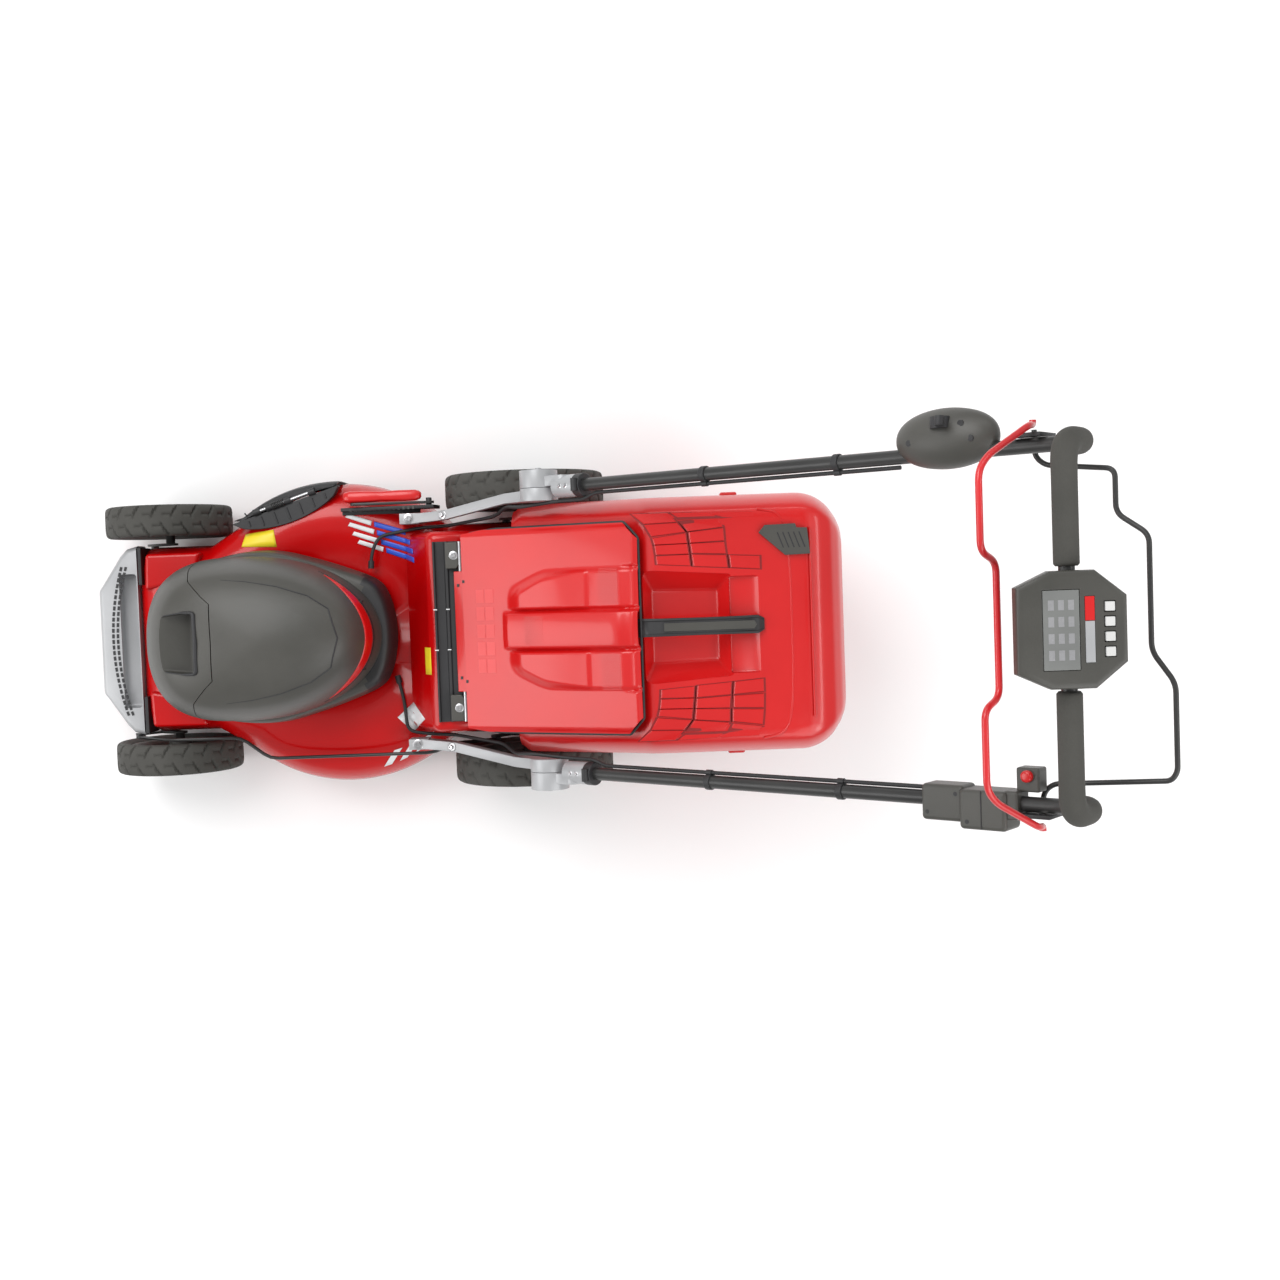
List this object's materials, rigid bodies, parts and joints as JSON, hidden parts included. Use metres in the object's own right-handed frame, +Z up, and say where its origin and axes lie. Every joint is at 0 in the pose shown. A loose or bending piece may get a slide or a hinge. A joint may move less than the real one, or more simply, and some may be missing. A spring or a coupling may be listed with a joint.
{
  "type": "lawn mower",
  "caption": "Battery lawn mower with a steel deck, coupled height adjustment, rear flap and grass box, side guard, bails and a folding handle.",
  "frame": {"origin": "centre of the whole mower box at ground level", "axes": "+X back towards the operator, +Y to the operator's right, +Z up"},
  "size_m": [1.615, 0.561, 1.0572],
  "materials": {
    "deck_paint": "glossy red powder coat on pressed steel",
    "red_plastic": "moulded red plastic, semi-gloss with fine texture",
    "red_coated_steel": "red dip-coated steel rod",
    "dark_plastic": "satin dark grey moulded plastic",
    "black_plastic": "matt black moulded plastic",
    "silver_coated": "light silver lacquer",
    "cast_alloy": "cast, satin",
    "steel": "ground steel",
    "black_steel": "black powder coat",
    "black_alloy": "black powder coat on tube",
    "foam_grip": "closed-cell foam sleeve, matt",
    "window": "clear window over a grey panel",
    "pale_keys": "pale keys with dark surrounds",
    "tyre_rubber": "matt rubber with curved sipes",
    "cable_jacket": "black jacket"
  },
  "bodies": {
    "mower_body": {"deck": "deck_paint", "front_bumper": "silver_coated", "hood_base": "dark_plastic", "hood_dome": "dark_plastic", "hood_trim": "red_plastic", "hood_tail": "black_plastic", "motor": "cast_alloy", "controller": "black_plastic", "hinge_channel": "black_plastic", "bracket_left": "silver_coated", "bracket_right": "silver_coated", "index_plate": "black_plastic", "deck_cable_left": "cable_jacket", "deck_cable_right": "cable_jacket"},
    "battery_cover": {"battery_flap": "dark_plastic"},
    "battery": {"battery_pack": "black_plastic"},
    "key": {"safety_key": "red_plastic"},
    "cutter": {"blade_adapter": "steel", "blade": "steel", "blade_bolt": "steel"},
    "front_crank": {"front_axle": "black_steel"},
    "rear_crank": {"rear_axle": "black_steel", "rear_drive": "cast_alloy"},
    "height_link": {"link_rod": "black_steel"},
    "height_hand_lever": {"height_lever": "black_steel", "lever_grip": "red_plastic"},
    "discharge_guard": {"side_guard": "black_plastic"},
    "back_flap": {"rear_flap": "red_plastic"},
    "grass_box": {"catcher": "red_plastic", "catcher_handle": "black_plastic"},
    "fill_indicator": {"fill_flap": "black_plastic"},
    "handle": {"handle_tube": "black_alloy", "socket_left": "silver_coated", "socket_right": "silver_coated", "grip_left": "foam_grip", "grip_right": "foam_grip", "display_housing": "dark_plastic", "display_window": "window", "speed_pod": "dark_plastic", "switch_box": "dark_plastic", "bail_plate_left": "black_plastic", "bail_plate_right": "black_plastic", "handle_cable_left": "cable_jacket", "handle_cable_right": "cable_jacket"},
    "speed_lever": {"thumb_lever": "black_plastic"},
    "start_switch": {"start_button": "red_plastic"},
    "drive_bail_body": {"drive_bail": "red_coated_steel"},
    "motor_bail_body": {"motor_bail": "black_steel"},
    "key_1": {"panel_button_1": "pale_keys"},
    "key_2": {"panel_button_2": "pale_keys"},
    "key_3": {"panel_button_3": "pale_keys"},
    "key_4": {"panel_button_4": "pale_keys"},
    "front_left_wheel": {"front_left_tyre": "tyre_rubber", "front_left_rim": "dark_plastic"},
    "front_right_wheel": {"front_right_tyre": "tyre_rubber", "front_right_rim": "dark_plastic"},
    "rear_left_wheel": {"rear_left_tyre": "tyre_rubber", "rear_left_rim": "dark_plastic"},
    "rear_right_wheel": {"rear_right_tyre": "tyre_rubber", "rear_right_rim": "dark_plastic"}
  },
  "joints": [
    {"name": "height_adjust", "type": "hinge", "parent": "mower_body", "child": "rear_crank", "pos_m": [-0.09046, -0.0095, 0.11264], "axis": [0, 1, 0], "range_deg": [0, 73]},
    {"name": "front_crank_turn", "type": "hinge", "parent": "mower_body", "child": "front_crank", "pos_m": [-0.73246, -0.0095, 0.08264], "axis": [0, 1, 0], "range_deg": [0, 73]},
    {"name": "height_link_turn", "type": "hinge", "parent": "rear_crank", "child": "height_link", "pos_m": [-0.12021, -0.2115, 0.15283], "axis": [0, 1, 0], "range_deg": [-73, 0]},
    {"name": "height_lever_swing", "type": "hinge", "parent": "mower_body", "child": "height_hand_lever", "pos_m": [-0.21349, 0.2165, 0.219], "axis": [0, 1, 0], "range_deg": [0, 60]},
    {"name": "front_left_wheel_spin", "type": "hinge", "parent": "front_crank", "child": "front_left_wheel", "pos_m": [-0.69549, -0.2185, 0.11], "axis": [0, 1, 0], "continuous": true},
    {"name": "rear_left_wheel_spin", "type": "hinge", "parent": "rear_crank", "child": "rear_left_wheel", "pos_m": [-0.05349, -0.2495, 0.14], "axis": [0, 1, 0], "continuous": true},
    {"name": "front_right_wheel_spin", "type": "hinge", "parent": "front_crank", "child": "front_right_wheel", "pos_m": [-0.69549, 0.1995, 0.11], "axis": [0, 1, 0], "continuous": true},
    {"name": "rear_right_wheel_spin", "type": "hinge", "parent": "rear_crank", "child": "rear_right_wheel", "pos_m": [-0.05349, 0.2305, 0.14], "axis": [0, 1, 0], "continuous": true},
    {"name": "blade_spin", "type": "hinge", "parent": "mower_body", "child": "cutter", "pos_m": [-0.38149, -0.0095, 0.06], "axis": [0, 0, 1], "continuous": true},
    {"name": "battery_cover_open", "type": "hinge", "parent": "mower_body", "child": "battery_cover", "pos_m": [-0.70149, -0.0095, 0.2554], "axis": [0, -1, 0], "range_deg": [0, 75]},
    {"name": "battery_lift", "type": "slide", "parent": "mower_body", "child": "battery", "axis": [0, 0, 1], "range_m": [0, 0.01]},
    {"name": "key_pull", "type": "slide", "parent": "mower_body", "child": "key", "axis": [0, 0, 1], "range_m": [0, 0.012]},
    {"name": "discharge_guard_open", "type": "hinge", "parent": "mower_body", "child": "discharge_guard", "pos_m": [-0.56073, 0.1933, 0.199], "axis": [0.9502, 0.3116, 0], "range_deg": [0, 60]},
    {"name": "back_flap_open", "type": "hinge", "parent": "mower_body", "child": "back_flap", "pos_m": [-0.15349, -0.0095, 0.306], "axis": [0, -1, 0], "range_deg": [0, 70]},
    {"name": "grass_box_pull", "type": "slide", "parent": "mower_body", "child": "grass_box", "axis": [1, 0, 0], "range_m": [0, 0.4]},
    {"name": "fill_indicator_lift", "type": "hinge", "parent": "grass_box", "child": "fill_indicator", "pos_m": [0.30151, 0.1205, 0.452], "axis": [0, -1, 0], "range_deg": [0, 20]},
    {"name": "handle_fold", "type": "hinge", "parent": "mower_body", "child": "handle", "pos_m": [-0.01249, -0.0095, 0.38], "axis": [0, -1, 0], "range_deg": [0, 130]},
    {"name": "drive_bail_squeeze", "type": "hinge", "parent": "handle", "child": "drive_bail_body", "pos_m": [0.65053, -0.0095, 0.92462], "axis": [0, 1, 0], "range_deg": [0, 22], "stiffness_Nm_per_rad": 1, "springref_deg": -17.19},
    {"name": "motor_bail_squeeze", "type": "hinge", "parent": "handle", "child": "motor_bail_body", "pos_m": [0.66008, -0.0095, 0.89375], "axis": [0, -1, 0], "range_deg": [0, 25], "stiffness_Nm_per_rad": 1, "springref_deg": -17.19},
    {"name": "speed_lever_turn", "type": "hinge", "parent": "handle", "child": "speed_lever", "pos_m": [0.5442, 0.2625, 0.86683], "axis": [0, 1, 0], "range_deg": [0, 35]},
    {"name": "start_switch_press", "type": "slide", "parent": "handle", "child": "start_switch", "axis": [0.6293, 0, -0.7771], "range_m": [0, 0.003], "stiffness_N_per_m": 300},
    {"name": "key_1_press", "type": "slide", "parent": "handle", "child": "key_1", "axis": [0, 0, -1], "range_m": [0, 0.002], "stiffness_N_per_m": 300},
    {"name": "key_2_press", "type": "slide", "parent": "handle", "child": "key_2", "axis": [0, 0, -1], "range_m": [0, 0.002], "stiffness_N_per_m": 300},
    {"name": "key_3_press", "type": "slide", "parent": "handle", "child": "key_3", "axis": [0, 0, -1], "range_m": [0, 0.002], "stiffness_N_per_m": 300},
    {"name": "key_4_press", "type": "slide", "parent": "handle", "child": "key_4", "axis": [0, 0, -1], "range_m": [0, 0.002], "stiffness_N_per_m": 300}
  ],
  "couplings": [
    {"joint": "front_crank_turn", "follows": "height_adjust", "ratio": 1},
    {"joint": "height_link_turn", "follows": "height_adjust", "ratio": -1},
    {"joint": "height_lever_swing", "follows": "height_adjust", "ratio": 0.8219}
  ]
}
